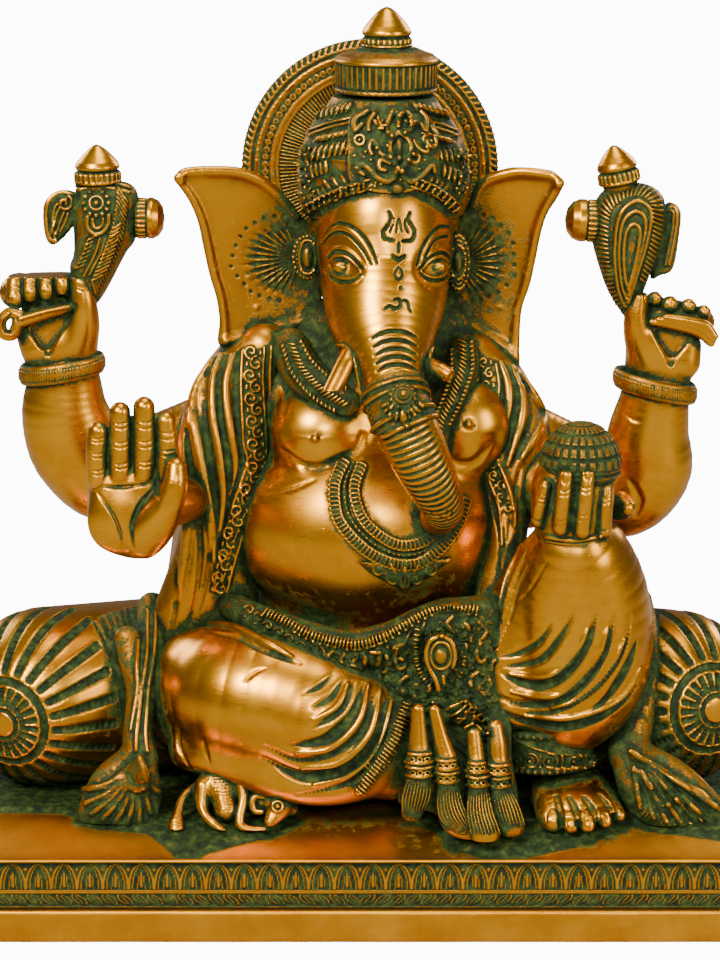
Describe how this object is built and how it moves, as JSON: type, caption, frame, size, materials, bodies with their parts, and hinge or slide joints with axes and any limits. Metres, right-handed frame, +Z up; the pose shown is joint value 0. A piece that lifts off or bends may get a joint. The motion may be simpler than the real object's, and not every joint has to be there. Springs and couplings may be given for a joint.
{
  "type": "seated deity statuette",
  "caption": "Cast brass statuette of a seated elephant-headed deity with a raised palm, a bowl of sweets, bolsters and a moulded plinth.",
  "frame": {"origin": "centre of the plinth's rectangular footprint, on the plane it stands on", "axes": "+Z up, -Y the way the deity faces, +X along the plinth's long side towards the viewer's right"},
  "size_m": [0.45, 0.2, 0.4367],
  "materials": {
    "polished_brass": "hand-polished golden brass with dark green patina left in the recesses",
    "patinated_brass": "chased ornament, polished only on its high points over dark green patina",
    "bolt_steel": "plain turned steel, hidden inside the plinth"
  },
  "bodies": {
    "root": {"bangle_left": "polished_brass", "bangle_right": "polished_brass", "belt": "patinated_brass", "belt_medallion": "polished_brass", "blessing_arm": "polished_brass", "blessing_hand": "polished_brass", "bolster_left": "polished_brass", "bolster_right": "polished_brass", "collar_left": "patinated_brass", "collar_right": "patinated_brass", "conch_finial_left": "polished_brass", "conch_finial_right": "polished_brass", "conch_knob_left": "polished_brass", "conch_knob_right": "polished_brass", "conch_left": "polished_brass", "conch_right": "polished_brass", "crown": "patinated_brass", "crown_crest": "polished_brass", "crown_drum": "polished_brass", "crown_finial": "polished_brass", "ear_left": "polished_brass", "ear_ornament_left": "patinated_brass", "ear_ornament_right": "patinated_brass", "ear_right": "polished_brass", "fixing_bolt_1": "bolt_steel", "fixing_bolt_2": "bolt_steel", "folded_leg": "polished_brass", "garment_hem": "patinated_brass", "halo": "polished_brass", "head": "polished_brass", "mouse": "polished_brass", "necklace": "patinated_brass", "necklace_pendant": "patinated_brass", "offering_arm": "polished_brass", "offering_hand": "polished_brass", "plinth_foot": "polished_brass", "plinth_frieze": "patinated_brass", "plinth_top": "polished_brass", "raised_foot": "polished_brass", "raised_leg": "polished_brass", "rear_arm_left": "polished_brass", "rear_arm_right": "polished_brass", "rear_hand_left": "polished_brass", "rear_hand_right": "polished_brass", "shawl_left": "patinated_brass", "shawl_right": "patinated_brass", "sweet_bowl": "patinated_brass", "tassel_1": "patinated_brass", "tassel_2": "patinated_brass", "tassel_3": "patinated_brass", "tassel_4": "patinated_brass", "tied_cloth_left": "patinated_brass", "tied_cloth_right": "patinated_brass", "torso": "polished_brass", "trunk": "polished_brass", "trunk_band": "patinated_brass", "tusk_left": "polished_brass", "tusk_right": "polished_brass"}
  },
  "joints": []
}
